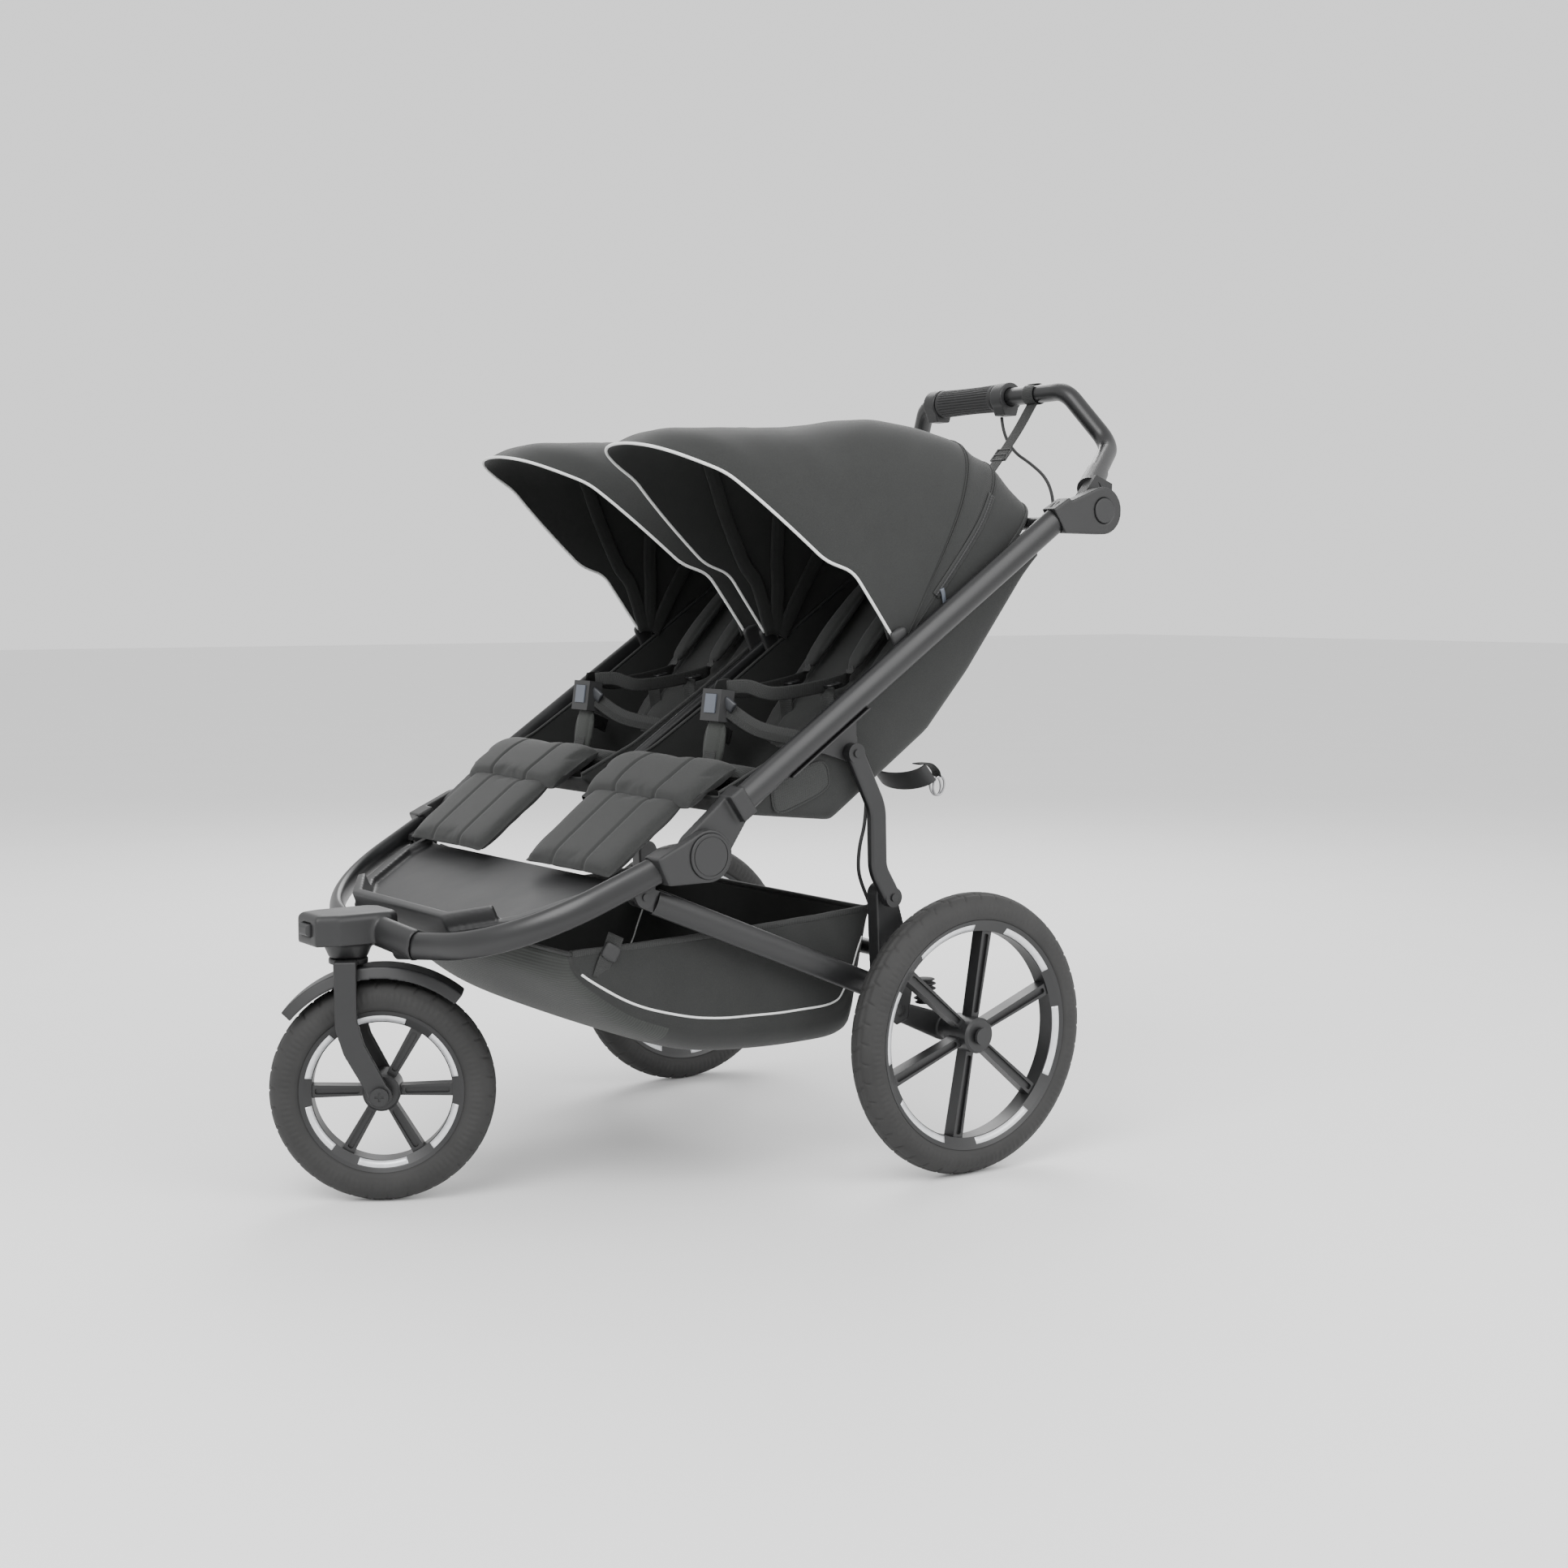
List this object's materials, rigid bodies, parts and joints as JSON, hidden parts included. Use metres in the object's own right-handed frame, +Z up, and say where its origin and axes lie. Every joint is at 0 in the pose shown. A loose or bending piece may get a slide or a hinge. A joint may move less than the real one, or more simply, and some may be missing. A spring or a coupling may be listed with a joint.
{
  "type": "jogging stroller",
  "caption": "Folding side-by-side double jogging stroller with a swivelling front wheel, sprung rear wheels, canopies, basket and a tilting handlebar.",
  "frame": {"origin": "on the floor under the middle of the whole stroller's width and length", "axes": "+Z up, -Y towards the front wheel, +X towards the seat occupant's left"},
  "size_m": [0.804, 1.2498, 1.141],
  "materials": {
    "frame_black": "satin",
    "casting_black": "matte",
    "moulded_black": "matte",
    "tyre_rubber": "matte",
    "rim_black": "satin",
    "canopy_cloth": "matte",
    "seat_cloth": "matte",
    "basket_cloth": "matte",
    "webbing": "matte",
    "buckle_grey": "satin",
    "soft_rubber": "matte",
    "pin_steel": "brushed",
    "bush_plastic": "matte",
    "piping_white": "matte",
    "reflective": "satin"
  },
  "bodies": {
    "front_frame": {"front_tube_left": "frame_black", "front_tube_right": "frame_black", "caster_housing": "casting_black", "steering_bushes": "bush_plastic", "fold_hinge_sockets": "casting_black", "fold_hinge_pins": "casting_black", "footrest_tray": "moulded_black", "legrest_pad_left": "seat_cloth", "legrest_pad_right": "seat_cloth", "basket": "basket_cloth", "rear_tube_pivots": "moulded_black"},
    "swivel_lock": {"swivel_lock_button": "moulded_black"},
    "fork": {"fork": "frame_black", "front_fender": "moulded_black", "front_axle": "casting_black"},
    "front_wheel": {"front_tyre": "tyre_rubber", "front_rim": "rim_black"},
    "rear_frame": {"rear_tube_left": "frame_black", "rear_tube_right": "frame_black", "rear_housing_left": "casting_black", "rear_housing_right": "casting_black", "rear_cross_tube": "frame_black", "suspension_bellows": "soft_rubber"},
    "swing_arm_left": {"swing_arm_left": "casting_black"},
    "swing_arm_right": {"swing_arm_right": "casting_black"},
    "rear_wheel_left": {"rear_tyre_left": "tyre_rubber", "rear_rim_left": "rim_black"},
    "rear_wheel_right": {"rear_tyre_right": "tyre_rubber", "rear_rim_right": "rim_black"},
    "hub_button_left": {"hub_button_left": "moulded_black"},
    "hub_button_right": {"hub_button_right": "moulded_black"},
    "struts": {"strut_left": "frame_black", "strut_right": "frame_black"},
    "upper_frame": {"rail_left": "frame_black", "rail_right": "frame_black", "centre_rail": "frame_black", "upper_cross_bar": "frame_black", "rail_fittings": "casting_black", "handle_sockets": "casting_black", "seat_left": "seat_cloth", "seat_right": "seat_cloth", "harness_left": "webbing", "harness_right": "webbing", "buckle_left": "moulded_black", "buckle_right": "moulded_black", "recline_bands": "moulded_black", "brake_cable_lower": "soft_rubber", "wrist_tether": "webbing", "brake_cable_upper": "soft_rubber"},
    "buckle_button_left": {"buckle_button_left": "buckle_grey"},
    "buckle_button_right": {"buckle_button_right": "buckle_grey"},
    "backrest_left": {"backrest_left": "seat_cloth"},
    "backrest_right": {"backrest_right": "seat_cloth"},
    "canopy_left": {"canopy_left": "canopy_cloth"},
    "canopy_right": {"canopy_right": "canopy_cloth"},
    "handlebar": {"handlebar": "frame_black", "brake_console": "moulded_black"},
    "brake_twist_grip": {"brake_twist_grip": "soft_rubber"},
    "handle_button_left": {"handle_button_left": "moulded_black"},
    "handle_button_right": {"handle_button_right": "moulded_black"}
  },
  "joints": [
    {"name": "main_fold", "type": "hinge", "parent": "front_frame", "child": "upper_frame", "pos_m": [0, -0.19123, 0.475], "axis": [-1, 0, 0], "range_deg": [-88, 0], "deforming": ["seat_left", "seat_right", "legrest_pad_left", "legrest_pad_right", "basket", "brake_cable_lower", "harness_left", "harness_right"]},
    {"name": "rear_frame_fold", "type": "hinge", "parent": "front_frame", "child": "rear_frame", "pos_m": [0, -0.26523, 0.424], "axis": [-1, 0, 0], "range_deg": [-68.81, 0]},
    {"name": "strut_pivot", "type": "hinge", "parent": "upper_frame", "child": "struts", "pos_m": [0, 0.05077, 0.596], "axis": [-1, 0, 0], "range_deg": [0, 3.69]},
    {"name": "caster_swivel", "type": "hinge", "parent": "front_frame", "child": "fork", "pos_m": [0, -0.52923, 0.329], "axis": [0, 0, 1], "continuous": true},
    {"name": "swivel_lock_slide", "type": "slide", "parent": "front_frame", "child": "swivel_lock", "axis": [0, 1, 0], "range_m": [0, 0.006]},
    {"name": "front_wheel_spin", "type": "hinge", "parent": "fork", "child": "front_wheel", "pos_m": [0.02189, -0.49222, 0.15], "axis": [0.8607, -0.509, 0], "continuous": true},
    {"name": "handlebar_tilt", "type": "hinge", "parent": "upper_frame", "child": "handlebar", "pos_m": [0, 0.48877, 0.928], "axis": [1, 0, 0], "range_deg": [-45, 12], "deforming": ["brake_cable_upper", "wrist_tether"]},
    {"name": "brake_twist", "type": "hinge", "parent": "handlebar", "child": "brake_twist_grip", "pos_m": [0, 0.58677, 1.118], "axis": [1, 0, 0], "range_deg": [0, 60]},
    {"name": "suspension_left", "type": "hinge", "parent": "rear_frame", "child": "swing_arm_left", "pos_m": [-0.312, 0.14677, 0.232], "axis": [1, 0, 0], "range_deg": [0, 7], "stiffness_Nm_per_rad": 80, "springref_deg": -17.19, "deforming": ["suspension_bellows"]},
    {"name": "rear_wheel_left_spin", "type": "hinge", "parent": "swing_arm_left", "child": "rear_wheel_left", "pos_m": [-0.368, 0.23277, 0.198], "axis": [1, 0, 0], "continuous": true},
    {"name": "hub_button_left_press", "type": "slide", "parent": "rear_wheel_left", "child": "hub_button_left", "axis": [1, 0, 0], "range_m": [0, 0.003], "stiffness_N_per_m": 500, "springref_m": -0.002},
    {"name": "backrest_recline_left", "type": "hinge", "parent": "upper_frame", "child": "backrest_left", "pos_m": [-0.178, 0.05677, 0.56], "axis": [1, 0, 0], "range_deg": [0, 22]},
    {"name": "canopy_fold_left", "type": "hinge", "parent": "upper_frame", "child": "canopy_left", "pos_m": [-0.178, 0.12477, 0.752], "axis": [-1, 0, 0], "range_deg": [0, 60], "deforming": ["canopy_left"]},
    {"name": "buckle_button_left_press", "type": "slide", "parent": "upper_frame", "child": "buckle_button_left", "axis": [0, 0.9903, -0.1392], "range_m": [0, 0.0025], "stiffness_N_per_m": 400, "springref_m": -0.002},
    {"name": "handle_button_left_press", "type": "slide", "parent": "upper_frame", "child": "handle_button_left", "axis": [1, 0, 0], "range_m": [0, 0.003], "stiffness_N_per_m": 600, "springref_m": -0.002},
    {"name": "suspension_right", "type": "hinge", "parent": "rear_frame", "child": "swing_arm_right", "pos_m": [0.312, 0.14677, 0.232], "axis": [1, 0, 0], "range_deg": [0, 7], "stiffness_Nm_per_rad": 80, "springref_deg": -17.19},
    {"name": "rear_wheel_right_spin", "type": "hinge", "parent": "swing_arm_right", "child": "rear_wheel_right", "pos_m": [0.368, 0.23277, 0.198], "axis": [1, 0, 0], "continuous": true},
    {"name": "hub_button_right_press", "type": "slide", "parent": "rear_wheel_right", "child": "hub_button_right", "axis": [-1, 0, 0], "range_m": [0, 0.003], "stiffness_N_per_m": 500, "springref_m": -0.002},
    {"name": "backrest_recline_right", "type": "hinge", "parent": "upper_frame", "child": "backrest_right", "pos_m": [0.178, 0.05677, 0.56], "axis": [1, 0, 0], "range_deg": [0, 22]},
    {"name": "canopy_fold_right", "type": "hinge", "parent": "upper_frame", "child": "canopy_right", "pos_m": [0.178, 0.12477, 0.752], "axis": [-1, 0, 0], "range_deg": [0, 60], "deforming": ["canopy_right"]},
    {"name": "buckle_button_right_press", "type": "slide", "parent": "upper_frame", "child": "buckle_button_right", "axis": [0, 0.9903, -0.1392], "range_m": [0, 0.0025], "stiffness_N_per_m": 400, "springref_m": -0.002},
    {"name": "handle_button_right_press", "type": "slide", "parent": "upper_frame", "child": "handle_button_right", "axis": [-1, 0, 0], "range_m": [0, 0.003], "stiffness_N_per_m": 600, "springref_m": -0.002}
  ],
  "couplings": [
    {"joint": "rear_frame_fold", "follows": "main_fold", "ratio": 0.7762},
    {"joint": "strut_pivot", "follows": "main_fold", "ratio": -0.03621}
  ]
}
